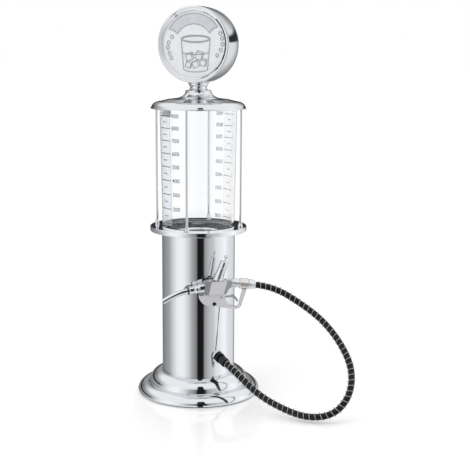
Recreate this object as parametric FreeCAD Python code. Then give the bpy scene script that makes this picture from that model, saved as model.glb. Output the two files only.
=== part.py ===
import FreeCAD, Part
import math
import os

# Countertop drinks dispenser shaped like an old visible-measure gas pump.
# Millimetres. +Z up, origin at the centre of the foot pad's underside. The nozzle gun lies along X
# on the -Y side. Azimuths are degrees from -Y towards +X.

# ---- driving dimensions -------------------------------------------------------------------------
TOTAL_H = 500.0
SLIP = 0.05                     # radial clearance of a pin or sliding part in its hole
FIT = 0.1                       # radial clearance of a located part
PAD_T = 1.5                     # foot pad
PLATE_T = 1.5                   # bottom plate
BASE_R = 80.0                   # lower step of the base
BASE_WALL = 1.5
STEP_Z = 12.0                   # groove between the two steps
STEP_R = 64.5                   # upper step
STEP_TOP = 26.0
SEAT_Z = 30.0                   # column stands here
SPIGOT_H = 6.0
COLUMN_R = 47.6
COLUMN_WALL = 1.5
COLLAR_Z = 215.6                # underside of the collar flange
COLLAR_T = 6.3
COLLAR_R = 62.7
CUP_DEPTH = 23.6                # canister cup inside the column, clamped by the tie rods
WEB_T = 4.0
CAN_FOOT_R = 46.6               # canister, outside, at the collar
CAN_TOP_R = 49.6                # canister, outside, at the rim
CAN_TOP_Z = 375.0
CAN_WALL = 2.2
CAN_SUMP_R = 43.6
CAN_BASE_Z = 205.0
SCALE_AZ = -72.3                # centre of the front scale strip; the other is opposite
SCALE_ARC = 34.0
SCALE_T = 0.4
PILLAR_R = 1.6
PILLAR_CIRCLE_R = 56.0
PILLAR_AZ = -24.3
LID_R = 60.8
LID_EDGE_Z = 372.5
LID_TOP_Z = 386.2
LID_WALL = 1.0
DRUM_R = 47.0
DRUM_DEPTH = 34.0
DRUM_WALL = 2.0
DRUM_CROWN = 1.0                # barrel shape of the drum's side
SIGN_AZ = -30.0
STUD_R = 2.5
TIE_R = 2.0
TIE_CIRCLE_R = 36.0
TIE_AZ = (80.0, 200.0, 320.0)
GUN_Y = -59.5                   # mid-plane of the nozzle gun
GUN_T = 13.0
HOSE_R = 4.0
GUARD_R = 5.5                   # outside of the wire guard
GUARD_T = 0.5
FERRULE_R = 5.9
OUTLET_AZ = 23.0
OUTLET_Z = 56.5
OUTLET_TILT = 15.0              # downwards
REAR_LINE = (66.5, 152.6)       # a point (x, z) on the axis of the gun's rear end
REAR_L = 34.0                   # gun's body to the start of the hose
REAR_TILT = 8.0                 # hose connector, downwards
SPOUT_R = 3.5
SPOUT_WALL = 0.7
SPOUT_TILT = 10.0               # spout collar, downwards
VALVE_TILT = 20.0               # valve tower, towards the hose
VALVE_FOOT = (15.0, 161.0)      # tower axis where it leaves the body
VALVE_TRAVEL = 2.8
PIVOT = (19.0, 139.0)           # trigger pivot (x, z)

V = FreeCAD.Vector
UP = V(0, 0, 1)
NODES = {}


# ---- shape helpers --------------------------------------------------------------------------------
def outline(points, place):
    """Closed face; an item that is a pair of pairs is an arc by way of the first to the second."""
    edges, here = [], points[0]
    for item in points[1:] + points[:1]:
        if isinstance(item[0], tuple):
            via, end = item
            edges.append(Part.Arc(place(here), place(via), place(end)).toShape())
        else:
            end = item
            edges.append(Part.LineSegment(place(here), place(end)).toShape())
        here = end
    return Part.Face(Part.Wire(edges))


def turned(points, sweep=360.0):
    """Solid of revolution about Z from (radius, z) points."""
    return outline(points, lambda p: V(p[0], 0, p[1])).revolve(V(0, 0, 0), UP, sweep)


def slab(points, y0, y1):
    """Plate between two Y planes from (x, z) points."""
    return outline(points, lambda p: V(p[0], y0, p[1])).extrude(V(0, y1 - y0, 0))


def rod(radius, start, axis, length):
    return Part.makeCylinder(radius, length, start, axis)


def pipe(outer, inner, start, axis, length):
    return rod(outer, start, axis, length).cut(rod(inner, start, axis, length))


def hexagon(flats, start, axis, length, bore=0.0):
    """Hexagonal nut or head, flats across, along the axis."""
    corners = [V(math.cos(math.radians(a)), math.sin(math.radians(a)), 0) * (flats / math.sqrt(3))
               for a in range(0, 361, 60)]
    nut = Part.Face(Part.makePolygon(corners)).extrude(V(0, 0, length))
    if bore:
        nut = nut.cut(rod(bore, V(0, 0, 0), UP, length))
    nut.Placement = FreeCAD.Placement(start, FreeCAD.Rotation(UP, axis))
    return nut


def turned_along(points, start, axis):
    """Solid of revolution whose (radius, height) points run along any axis."""
    shape = turned(points)
    shape.Placement = FreeCAD.Placement(start, FreeCAD.Rotation(UP, axis))
    return shape


def box(x0, x1, y0, y1, z0, z1):
    return Part.makeBox(x1 - x0, y1 - y0, z1 - z0, V(x0, y0, z0))


def spun(shape, azimuth):
    """A shape built facing -Y, turned to the azimuth."""
    copy = shape.copy()
    copy.rotate(V(0, 0, 0), UP, azimuth)
    return copy


def at(azimuth, radius, z):
    a = math.radians(azimuth)
    return V(radius * math.sin(a), -radius * math.cos(a), z)


def joined(shapes):
    whole = shapes[0].fuse(shapes[1:]) if len(shapes) > 1 else shapes[0]
    return whole.removeSplitter()


def less(shape, tools):
    for tool in tools:
        shape = shape.cut(tool)
    return shape


def rounded_path(points):
    """Straight runs joined by tangent arcs, with the radius at each corner."""
    edges, radii, here = [], [], points[0]
    for before, corner, after in zip(points, points[1:], points[2:]):
        run_in, run_out = corner - before, after - corner
        turn = run_in.getAngle(run_out)
        reach = 0.45 * min(run_in.Length, run_out.Length)
        radius = reach / math.tan(turn / 2)
        run_in.normalize()
        run_out.normalize()
        inward = run_out - run_in
        inward.normalize()
        first, last = corner - run_in * reach, corner + run_out * reach
        middle = corner + inward * (radius / math.cos(turn / 2) - radius)
        edges.append(Part.LineSegment(here, first).toShape())
        edges.append(Part.Arc(first, middle, last).toShape())
        radii.append(radius)
        here = last
    edges.append(Part.LineSegment(here, points[-1]).toShape())
    return Part.Wire(edges), radii


def tube_along(points, radius):
    """Round solid swept along the rounded path."""
    wire, radii = rounded_path(points)
    start = Part.Wire(Part.makeCircle(radius, points[0], points[1] - points[0]))
    solid = wire.makePipeShell([start], True, False)
    return solid, wire.Length, radii


def add(name, shape):
    NODES[name] = shape


# ---- base -----------------------------------------------------------------------------------------
neck_r = COLUMN_R + 1.0
spigot_r = COLUMN_R - COLUMN_WALL - FIT
wall_r = BASE_R - BASE_WALL
step_wall_r = STEP_R - BASE_WALL
throat_r = spigot_r - 2.0
plate_top = PAD_T + PLATE_T

add("base_shell", turned([
    (wall_r, PAD_T), (BASE_R - 0.8, PAD_T), (BASE_R, PAD_T + 2.0),
    ((BASE_R - 3.6, STEP_Z - 2.2), (STEP_R + 1.4, STEP_Z + 0.5)),
    (STEP_R - 0.2, STEP_Z - 0.3), (STEP_R, STEP_Z + 1.4),
    ((neck_r + 11.4, STEP_Z + 12.2), (neck_r, STEP_TOP + 2.8)),
    (neck_r, SEAT_Z), (spigot_r, SEAT_Z), (spigot_r, SEAT_Z + SPIGOT_H), (throat_r, SEAT_Z + SPIGOT_H),
    (throat_r, STEP_TOP), (neck_r + 1.5, STEP_TOP - 1.8), (STEP_R - 6.8, STEP_TOP - 2.6),
    (step_wall_r, STEP_Z + 3.0), (step_wall_r, STEP_Z - 1.8), (BASE_R - 6.5, STEP_Z - 2.8),
    (wall_r, PAD_T + 2.8)]))

weight_r = step_wall_r - FIT
weight_top = STEP_TOP - 2.0
tie_foot_z = plate_top + 5.0
screw_circle_r = 46.0
screw_az = (20.0, 140.0, 260.0)
weight = turned([(0, plate_top), (weight_r, plate_top), (weight_r, STEP_Z + 2.8),
                 (STEP_R - 7.2, STEP_TOP - 3.0), (neck_r + 1.5, weight_top - FIT), (0, weight_top - FIT)])
add("base_weight", less(
    weight,
    [rod(TIE_R + SLIP, at(a, TIE_CIRCLE_R, tie_foot_z), UP, 30) for a in TIE_AZ]
    + [rod(1.5 + SLIP, at(a, screw_circle_r, 0), UP, plate_top + 6.0) for a in screw_az]))
screw_form = [(0, PAD_T), (3.4, PAD_T), (1.5, PAD_T + 1.3), (1.5, plate_top + 5.6), (0, plate_top + 5.6)]
sink_form = [(0, 0), (3.55, 0), (3.55, PAD_T), (1.65, PAD_T + 1.35), (1.65, plate_top), (0, plate_top)]
add("base_plate", less(rod(wall_r - FIT, V(0, 0, PAD_T), UP, PLATE_T),
                       [turned_along(sink_form, at(a, screw_circle_r, 0), UP) for a in screw_az]))
add("base_screws", Part.makeCompound([turned_along(screw_form, at(a, screw_circle_r, 0), UP)
                                      for a in screw_az]))
add("base_pad", rod(BASE_R - 3.0, V(0, 0, 0), UP, PAD_T))

# ---- column, collar and tie rods ------------------------------------------------------------------
cup_z = COLLAR_Z - CUP_DEPTH
web_top = cup_z + WEB_T
cup_bore = CAN_SUMP_R + 0.3
flange_top = COLLAR_Z + COLLAR_T
ledge_z = flange_top - 3.5
gasket_t = 1.0
shoulder_z = ledge_z + gasket_t
tie_top = web_top + 6.0
outlet_dir = V(0, -math.cos(math.radians(OUTLET_TILT)), -math.sin(math.radians(OUTLET_TILT)))
outlet_hub = V(0, -COLUMN_R, OUTLET_Z)
hook_x, hook_z = 12.0, 151.0
hook_screw_x = (hook_x - 7.8, hook_x + 7.8)

add("column_tube", less(
    pipe(COLUMN_R, COLUMN_R - COLUMN_WALL, V(0, 0, SEAT_Z), UP, COLLAR_Z - SEAT_Z),
    [rod(1.5 + FIT, V(x, 0, hook_z), V(0, -1, 0), 60) for x in hook_screw_x]
    + [spun(rod(5.2, outlet_hub - outlet_dir * 12, outlet_dir, 24), OUTLET_AZ)]))
rim = 0.7
lip_z = ledge_z - 1.2
add("collar", less(
    turned([(spigot_r + FIT, COLLAR_Z), (COLLAR_R - rim, COLLAR_Z), (COLLAR_R, COLLAR_Z + rim),
            (COLLAR_R, flange_top - rim), (COLLAR_R - rim, flange_top), (CAN_FOOT_R + 0.3, flange_top),
            (CAN_FOOT_R + 0.3, lip_z), (spigot_r + FIT, lip_z)]),
    [rod(PILLAR_R + SLIP, at(PILLAR_AZ + 90 * k, PILLAR_CIRCLE_R, flange_top - 4.0), UP, 5)
     for k in range(4)]))
add("canister_cup", less(
    turned([(14.0, cup_z), (spigot_r, cup_z), (spigot_r, lip_z), (CAN_FOOT_R + 0.2, lip_z),
            (CAN_FOOT_R + 0.2, ledge_z), (cup_bore, ledge_z), (cup_bore, web_top), (14.0, web_top)]),
    [rod(TIE_R + FIT, at(a, TIE_CIRCLE_R, cup_z), UP, WEB_T) for a in TIE_AZ]))
add("tie_rods", Part.makeCompound([rod(TIE_R, at(a, TIE_CIRCLE_R, tie_foot_z), UP, tie_top - tie_foot_z)
                                   for a in TIE_AZ]))
add("tie_nuts", Part.makeCompound([hexagon(7.0, at(a, TIE_CIRCLE_R, web_top), UP, 3.2, TIE_R + 0.01)
                                   for a in TIE_AZ]))
add("collar_gasket", pipe(CAN_FOOT_R - 0.1, cup_bore + 0.3, V(0, 0, ledge_z), UP, gasket_t))

# ---- canister and drain ---------------------------------------------------------------------------
sump_in_r = CAN_SUMP_R - CAN_WALL
floor_z = CAN_BASE_Z + 3.2
taper = (CAN_TOP_R - CAN_FOOT_R) / (CAN_TOP_Z - shoulder_z)


def can_r(z):
    return CAN_FOOT_R + taper * (z - shoulder_z)


drain_r = 5.0
canister = turned([
    (drain_r + FIT, CAN_BASE_Z), (CAN_SUMP_R, CAN_BASE_Z), (CAN_SUMP_R, shoulder_z),
    (CAN_FOOT_R, shoulder_z), (CAN_TOP_R, CAN_TOP_Z), (CAN_TOP_R - CAN_WALL, CAN_TOP_Z),
    (can_r(shoulder_z + 3) - CAN_WALL, shoulder_z + 3),
    (sump_in_r, shoulder_z), (sump_in_r, floor_z + 3.5), (drain_r + 5.0, floor_z), (drain_r + FIT, floor_z)])
strip_low, strip_high = flange_top + 3.0, CAN_TOP_Z - 4.5
strip = turned([(can_r(strip_low) - 0.5, strip_low), (can_r(strip_low) + SCALE_T, strip_low),
                (can_r(strip_high) + SCALE_T, strip_high), (can_r(strip_high) - 0.5, strip_high)], SCALE_ARC)
strips = [spun(strip, SCALE_AZ + 90 - SCALE_ARC / 2 + turn - 180) for turn in (0, 180)]
add("canister", joined([canister] + strips))

nut_z = CAN_BASE_Z - 4.0
add("drain_spigot", turned([
    (2.6, 178.0), (4.0, 178.0), (4.4, 181.0), (3.6, 181.0), (3.6, 186.0), (drain_r, 186.0),
    (drain_r, floor_z + 0.8), (drain_r + 4.0, floor_z + 0.8), (drain_r + 4.0, floor_z + 2.2),
    (drain_r - 1.0, floor_z + 2.2), (2.6, floor_z + 0.8)]))
add("drain_seal", pipe(drain_r + 3.6, drain_r + FIT, V(0, 0, floor_z), UP, 0.8))
add("drain_nut", hexagon(18.0, V(0, 0, nut_z), UP, CAN_BASE_Z - nut_z, drain_r + 0.01))

# ---- outlet and the hose inside the column --------------------------------------------------------
bore = 2.6
outlet_profile = [(bore, -16.0), (3.9, -16.0), (3.5, -8.0), (5.0, -8.0), (5.0, 1.5), (6.6, 1.5), (6.6, 6.5),
                  (5.0, 6.5), (5.0, 9.0), (bore, 9.0)]
outlet_end = 9.0
flange_seat = 1.5


def outlet_part(points):
    return spun(turned_along(points, outlet_hub, outlet_dir), OUTLET_AZ)


column_block = rod(COLUMN_R, V(0, 0, SEAT_Z), UP, COLLAR_Z - SEAT_Z)
column_bore = rod(COLUMN_R - COLUMN_WALL, V(0, 0, SEAT_Z), UP, COLLAR_Z - SEAT_Z)
add("outlet_fitting", outlet_part(outlet_profile))
add("outlet_washer", outlet_part([(5.1, -4.0), (8.2, -4.0), (8.2, flange_seat), (5.1, flange_seat)]
                                 ).cut(column_block))
inner_nut = spun(hexagon(13.0, outlet_hub - outlet_dir * 6.5, outlet_dir, 6.5, drain_r + 0.01), OUTLET_AZ)
add("outlet_nut", inner_nut.common(column_bore))
spigot_foot = V(0, 0, 178.0)
tail_dir = FreeCAD.Rotation(UP, OUTLET_AZ).multVec(outlet_dir)
outlet_tail = at(OUTLET_AZ, COLUMN_R, OUTLET_Z) - tail_dir * 16.0
inner_route = [spigot_foot, V(0, 0, 142), V(-6, 12, 108), outlet_tail - tail_dir * 28, outlet_tail]
inner_hose = tube_along(inner_route, 4.2)[0]
add("drain_hose", inner_hose.cut(tube_along(inner_route, 2.6)[0]))

# ---- pillars and crown ring -----------------------------------------------------------------------
pillar_az = [PILLAR_AZ + 90 * k for k in range(4)]
ring_z, ring_t = LID_EDGE_Z + 0.6, 2.6
for number, azimuth in enumerate(pillar_az, 1):
    foot = at(azimuth, PILLAR_CIRCLE_R, flange_top - 3.5)
    add("pillar_rod_%d" % number, rod(PILLAR_R, foot, UP, ring_z + 1.8 - foot.z))
add("pillar_feet", Part.makeCompound([
    turned_along([(PILLAR_R + 0.01, 0), (3.2, 0), (3.2, 1.6), (2.3, 3.6), (2.0, 6.5),
                  (PILLAR_R + 0.01, 6.5)], at(a, PILLAR_CIRCLE_R, flange_top), UP) for a in pillar_az]))
add("crown_ring", less(pipe(LID_R - 2.4, CAN_TOP_R + 2.6, V(0, 0, ring_z), UP, ring_t),
                       [rod(PILLAR_R + SLIP, at(a, PILLAR_CIRCLE_R, ring_z), UP, 1.8) for a in pillar_az]))

# ---- lid ------------------------------------------------------------------------------------------
crown_in = LID_TOP_Z - LID_WALL
add("lid_dome", less(turned([
    (0, crown_in), (25.0, crown_in), (38.0, 383.7), (50.0, 380.9), ((56.4, 378.4), (59.2, 374.4)),
    (59.4, LID_EDGE_Z), (LID_R, LID_EDGE_Z),
    ((LID_R + 0.5, LID_EDGE_Z + 0.8), (LID_R - 0.2, LID_EDGE_Z + 1.9)),
    ((57.4, 379.2), (50.6, 381.8)), (38.4, 384.7), (25.4, LID_TOP_Z), (0, LID_TOP_Z)]),
    [rod(STUD_R + FIT, V(0, 0, crown_in - 1), UP, 4)]))
cap_t = 1.4
plug_r = CAN_TOP_R - CAN_WALL - 0.25
hub_top = crown_in
liner = turned([(STUD_R + FIT, CAN_TOP_Z), (plug_r - 1.6, CAN_TOP_Z), (plug_r - 1.8, CAN_TOP_Z - 3.2),
                (plug_r - 0.2, CAN_TOP_Z - 3.2), (plug_r, CAN_TOP_Z), (CAN_TOP_R + 0.9, CAN_TOP_Z),
                (CAN_TOP_R + 0.9, CAN_TOP_Z + cap_t), (11.0, CAN_TOP_Z + cap_t), (9.0, hub_top),
                (STUD_R + FIT, hub_top)])
tab = turned([(plug_r - 1.7, CAN_TOP_Z - 11.4), (plug_r - 0.5, CAN_TOP_Z - 11.4),
              (plug_r - 0.3, CAN_TOP_Z - 3.0), (plug_r - 1.7, CAN_TOP_Z - 3.0)], SCALE_ARC - 4)
add("lid_liner", joined([liner, spun(tab, SCALE_AZ + 92 - SCALE_ARC / 2 - 180)]))

drum_z = TOTAL_H - DRUM_R - 0.4
half = DRUM_DEPTH / 2
drum_side = [(DRUM_R, -half), ((DRUM_R + DRUM_CROWN, 0), (DRUM_R, half))]
drum_bar = turned_along([(0, -half)] + drum_side + [(0, half)], V(0, 0, drum_z), V(0, -1, 0))
neck = turned([(0, LID_TOP_Z), (24.4, LID_TOP_Z), (24.6, LID_TOP_Z + 0.9),
               ((19.5, LID_TOP_Z + 3.2), (16.6, LID_TOP_Z + 7.2)),
               (16.9, LID_TOP_Z + 7.8), (16.9, LID_TOP_Z + 9.2),
               (15.8, LID_TOP_Z + 9.9), ((11.6, LID_TOP_Z + 11.0), (10.6, LID_TOP_Z + 13.6)),
               (12.4, LID_TOP_Z + 16.2), ((13.0, LID_TOP_Z + 18.6), (14.4, LID_TOP_Z + 20.2)),
               (14.4, LID_TOP_Z + 24.0), (0, LID_TOP_Z + 24.0)])
stud_hole = rod(STUD_R + FIT, V(0, 0, 360), UP, 80)
add("lid_neck", less(neck, [spun(drum_bar, SIGN_AZ), stud_hole]))
stud_low = CAN_TOP_Z - 5.5
inside_z = drum_z - DRUM_R + DRUM_WALL
add("lid_stud", rod(STUD_R, V(0, 0, stud_low), UP, inside_z + 7.0 - stud_low))
add("stud_nuts", Part.makeCompound([hexagon(8.0, V(0, 0, CAN_TOP_Z - 4.0), UP, 4.0, STUD_R + 0.01),
                                    hexagon(8.0, V(0, 0, inside_z + 0.5), UP, 4.0, STUD_R + 0.01)]))

# ---- sign drum ------------------------------------------------------------------------------------
face_r = 43.0


def sign_ring(profile, back=False):
    """Ring about the sign's axis from (radius, distance from the drum's middle) points."""
    shape = turned_along(profile, V(0, 0, drum_z), V(0, -1, 0))
    return spun(shape, SIGN_AZ + (180 if back else 0))


drum = sign_ring([(DRUM_R - DRUM_WALL, -half)] + drum_side + [(DRUM_R - DRUM_WALL, half)])
add("sign_drum", less(drum, [rod(STUD_R + FIT, V(0, 0, drum_z - DRUM_R - 10), UP, 20)]))
bezel = [(face_r - 1.6, half), (DRUM_R + 0.4, half), (DRUM_R + 0.4, half + 1.6),
         ((DRUM_R - 0.2, half + 2.6), (DRUM_R - 1.6, half + 2.8)), (DRUM_R - 2.4, half + 2.0),
         (DRUM_R - 3.2, half + 1.9), (face_r - 0.4, half + 2.5), (face_r - 1.6, half + 1.4)]
panel = [(0, half - 1.2), (face_r + 1.6, half - 1.2), (face_r + 1.6, half), (0, half)]


def sign_badge():
    """Blank arched banner, a plain tumbler and two rows of dots, facing -Y at the sign's face."""
    arch = turned([(27.0, 0), (35.0, 0), (35.0, 0.6), (27.0, 0.6)], 104)
    arch.rotate(V(0, 0, 0), V(0, 0, 1), 38)
    tumbler = Part.Face(Part.makePolygon([V(x, y, 0) for x, y in (
        (-14.0, 12.0), (14.0, 12.0), (10.5, -21.0), (-10.5, -21.0), (-14.0, 12.0))])).extrude(V(0, 0, 0.5))
    dots = [rod(1.3, V(32.5 * math.cos(math.radians(a)), 32.5 * math.sin(math.radians(a)), 0), UP, 0.5)
            for a in (14, 3, -8, -19, 166, 177, 188, 199)]
    badge = Part.makeCompound([arch, tumbler] + dots)
    badge.Placement = FreeCAD.Placement(V(0, -half, drum_z), FreeCAD.Rotation(V(1, 0, 0), 90))
    return badge


for side, back in (("front", False), ("back", True)):
    add("sign_panel_" + side, sign_ring(panel, back))
    add("sign_bezel_" + side, sign_ring(bezel, back))
    add("sign_badge_" + side, spun(sign_badge(), SIGN_AZ + (180 if back else 0)))

# ---- hook on the column ---------------------------------------------------------------------------
gun_back = GUN_Y + GUN_T / 2
gun_front = GUN_Y - GUN_T / 2
plate_front = gun_back + 2.4
body_low, body_top = 143.4, 160.4
rail_top = 156.0
hook_plate = box(hook_x - 10.5, hook_x + 10.5, plate_front, -30, body_low + 1.2, 158.5).cut(column_block)
rail_neck = box(hook_x - 3.0, hook_x + 3.0, gun_back - 2.2, plate_front + 0.5, body_low + 1.2, rail_top)
rail_head = box(hook_x - 5.0, hook_x + 5.0, gun_back - 2.9, gun_back - 1.4, body_low + 1.2, rail_top)
add("nozzle_hook", less(joined([hook_plate, rail_neck, rail_head]),
                        [rod(1.5 + FIT, V(x, -30, hook_z), V(0, -1, 0), 30) for x in hook_screw_x]))
add("hook_screws", Part.makeCompound([
    joined([rod(1.5, V(x, -38, hook_z), V(0, -1, 0), -38 - plate_front),
            rod(2.6, V(x, plate_front, hook_z), V(0, -1, 0), 1.7)]) for x in hook_screw_x]))

# ---- nozzle gun -----------------------------------------------------------------------------------
valve_axis = V(math.sin(math.radians(VALVE_TILT)), 0, math.cos(math.radians(VALVE_TILT)))
valve_foot = V(VALVE_FOOT[0], GUN_Y, VALVE_FOOT[1])
rear_axis = V(math.cos(math.radians(REAR_TILT)), 0, -math.sin(math.radians(REAR_TILT)))
spout_axis = V(-math.cos(math.radians(SPOUT_TILT)), 0, -math.sin(math.radians(SPOUT_TILT)))
rear_root = V(REAR_LINE[0], GUN_Y, REAR_LINE[1]) - rear_axis * 38.0
hose_start = rear_root + rear_axis * REAR_L
nose_root = V(-3.0, GUN_Y, 151.6)
stem_r = 1.1
stem_bore = rod(stem_r + SLIP, valve_foot - valve_axis * 25, valve_axis, 40)
seat_r = 2.9
seat_pocket = rod(seat_r + SLIP, valve_foot - valve_axis * 6.0, valve_axis, 12)

body = slab([(-3.2, 145.0), (-2.4, 159.0), (-1.2, 160.2), (30.0, 161.8), (31.5, 160.4), (31.5, 152.5),
             (28.5, 151.0), (24.6, body_low), (-1.8, body_low)], gun_front, gun_back)
nose = turned_along([(0, -1), (6.3, -1), (6.1, 5.0), (5.2, 8.2), (0, 8.2)], nose_root, spout_axis)
pocket = joined([box(hook_x - 5.2, hook_x + 5.2, gun_back - 3.1, gun_back - 1.2, body_low - 3, rail_top),
                 box(hook_x - 3.2, hook_x + 3.2, gun_back - 2.0, gun_back + 1, body_low - 3, rail_top)])
lever_slot = box(4.0, 15.0, GUN_Y - 2.4, GUN_Y + 2.4, body_low - 3, body_low + 3.6)
body = less(joined([body, nose]), [
    pocket, stem_bore, seat_pocket, lever_slot,
    rod(4.0 + SLIP, nose_root + spout_axis * 2.0, spout_axis, 20),
    rod(4.0 + SLIP, rear_root - rear_axis * 6.0, rear_axis, 20)])
cover_t = 1.0
cover_screw_at = ((8.4, 157.2), (18.9, 146.5))
add("nozzle_body", less(body, [rod(0.9 + SLIP, V(x, gun_front, z), V(0, 1, 0), 4.5)
                               for x, z in cover_screw_at]))
add("nozzle_cover", less(
    slab([(2.4, body_low + 0.4), (5.9, 158.9), (6.9, 159.9), (24.8, 160.6), (25.7, 159.5),
          (21.0, body_low + 0.4)], gun_front - cover_t, gun_front),
    [rod(0.9 + SLIP, V(x, gun_front - 2, z), V(0, 1, 0), 3) for x, z in cover_screw_at]))
add("cover_screws", Part.makeCompound([
    joined([rod(0.9, V(x, gun_front - cover_t - 0.5, z), V(0, 1, 0), 5.5),
            rod(1.6, V(x, gun_front - cover_t - 0.7, z), V(0, 1, 0), 0.7)]) for x, z in cover_screw_at]))

# guard: front plate, lower rim and rear leg in one bent strip, slotted for the trigger
cheek_y = (GUN_Y - 3.5, GUN_Y + 3.5)
guard = slab([
    (-8.8, body_low - 1.6), (-8.8, 140.2), ((-6.4, 133.8), (0.6, 129.4)), (26.0, 125.1), (35.6, 123.7),
    ((42.8, 124.9), (45.8, 130.1)), (52.6, 151.0), (47.8, 151.0), (42.4, 130.9),
    ((40.8, 127.2), (36.2, 126.2)), ((29.4, 129.1), (25.2, 135.0)), (24.4, 137.6), (22.2, body_low),
    (-1.8, body_low), (-3.4, body_low - 1.6)], *cheek_y)
slot = box(2.5, 31.0, GUN_Y - 2.2, GUN_Y + 2.2, 133.3, body_low + 1)
pin_r = 1.0
guard_screw_at = V(9.9, GUN_Y, 131.0)
add("nozzle_guard", less(guard, [
    slot, rod(7.3, rear_root + rear_axis * 8.0, rear_axis, 26),
    rod(pin_r + SLIP, V(PIVOT[0], GUN_Y - 6, PIVOT[1]), V(0, 1, 0), 12),
    rod(1.4 + FIT, guard_screw_at + V(0, -6, 0), V(0, 1, 0), 12)]))
add("guard_screw", joined([rod(1.4, guard_screw_at + V(0, -4.0, 0), V(0, 1, 0), 7.5),
                           rod(2.2, guard_screw_at + V(0, -4.4, 0), V(0, 1, 0), 0.9)]))
add("trigger_pin", rod(pin_r, V(PIVOT[0], GUN_Y - 4.1, PIVOT[1]), V(0, 1, 0), 8.0))

# trigger: hub on the pin, a short fork inside and a long curved blade through the guard's loop
stem_low = valve_foot + valve_axis * ((PIVOT[1] + 0.3 - VALVE_FOOT[1]) / valve_axis.z)
blade = slab([
    (PIVOT[0] - 0.6, PIVOT[1] + 2.2), ((25.6, 141.0), (31.8, 141.2)), ((38.0, 138.9), (41.0, 132.8)),
    (38.7, 132.1), ((35.9, 136.6), (31.0, 138.5)), ((25.5, 138.1), (PIVOT[0] + 1.5, PIVOT[1] - 2.2)),
    (PIVOT[0] - 1.5, PIVOT[1] - 2.2)], GUN_Y - 1.9, GUN_Y + 1.9)
arm = slab([(PIVOT[0], PIVOT[1] + 2.4), (stem_low.x - 3.0, PIVOT[1] + 3.6),
            (stem_low.x - 3.0, PIVOT[1] + 1.9), (PIVOT[0], PIVOT[1] - 1.8)], GUN_Y - 1.9, GUN_Y + 1.9)
hub = rod(2.6, V(PIVOT[0], GUN_Y - 1.9, PIVOT[1]), V(0, 1, 0), 3.8)
add("trigger", less(joined([blade, arm, hub]), [
    rod(pin_r + SLIP, V(PIVOT[0], GUN_Y - 4, PIVOT[1]), V(0, 1, 0), 8),
    box(stem_low.x - 4.0, stem_low.x + 2.6, GUN_Y - 1.35, GUN_Y + 1.35, 135, 146)]))

# valve tower, cap, stem with its knob, seal and spring
tower_h, cap_h, cap_in = 16.0, 9.4, 1.4
spring_r, spring_in = 2.5, 1.5
add("valve_tower", turned_along([
    (spring_r + 0.15, 1.6), (stem_r + SLIP, 1.6), (stem_r + SLIP, -0.8), (6.4, -0.8), (6.4, 1.0), (6.1, 1.8),
    (5.3, tower_h), (spring_r + 0.15, tower_h)], valve_foot, valve_axis).cut(body))
add("valve_cap", turned_along([
    (spring_r + 0.15, tower_h), (4.9, tower_h), (5.3, tower_h + 0.8), (5.2, tower_h + 7.2),
    ((4.6, tower_h + 8.9), (3.0, tower_h + cap_h)), (stem_r + SLIP, tower_h + cap_h),
    (stem_r + SLIP, tower_h + cap_h - cap_in), (spring_r + 0.15, tower_h + cap_h - cap_in)],
    valve_foot, valve_axis))
stem_foot = (stem_low - valve_foot).dot(valve_axis)
flange_at = tower_h + cap_h - cap_in - 1.0
knob_at = tower_h + cap_h + VALVE_TRAVEL + 0.8
stem_profile = [
    (0, stem_foot - 2.0), (2.0, stem_foot - 2.0), (2.0, stem_foot - 1.0), (stem_r, stem_foot - 1.0),
    (stem_r, flange_at), (spring_r, flange_at), (spring_r, flange_at + 1.0), (stem_r, flange_at + 1.0),
    (stem_r, knob_at), (1.8, knob_at), ((2.5, knob_at + 2.2), (1.3, knob_at + 4.2)), (0, knob_at + 4.4)]
add("valve_stem", turned_along(stem_profile, valve_foot, valve_axis))
add("valve_seal", turned_along([
    (stem_r + SLIP, -6.0), (seat_r, -6.0), (seat_r, -3.4), (stem_r + SLIP, -3.4)], valve_foot, valve_axis))
add("valve_spring", turned_along([
    (spring_in, 1.6), (spring_r, 1.6), (spring_r, flange_at), (spring_in, flange_at)],
    valve_foot, valve_axis))

# spout
ring_at = 20.0
spout_in = SPOUT_R - SPOUT_WALL
add("spout_collar", turned_along([
    (spout_in, 3.2), (4.0, 3.2), (4.0, 8.6), (5.6, 9.0), (5.5, 10.2), (4.7, 11.4), (4.7, 12.2), (5.1, 12.8),
    (5.1, 17.6), (4.4, 18.4), (4.4, ring_at - 0.8), (spout_in, ring_at - 0.8)], nose_root, spout_axis))
add("spout_o_ring", turned_along([
    (SPOUT_R + FIT, ring_at - 0.8), (4.6, ring_at - 0.8), ((5.1, ring_at), (4.6, ring_at + 0.8)),
    (SPOUT_R + FIT, ring_at + 0.8)], nose_root, spout_axis))
spout_from = nose_root + spout_axis * (ring_at - 0.8)
spout_route = [spout_from, spout_from + spout_axis * 10.0, V(-44.0, GUN_Y, 141.6), V(-55.0, GUN_Y, 135.4)]
add("spout_tube", tube_along(spout_route, SPOUT_R)[0].cut(tube_along(spout_route, spout_in)[0]))

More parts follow.
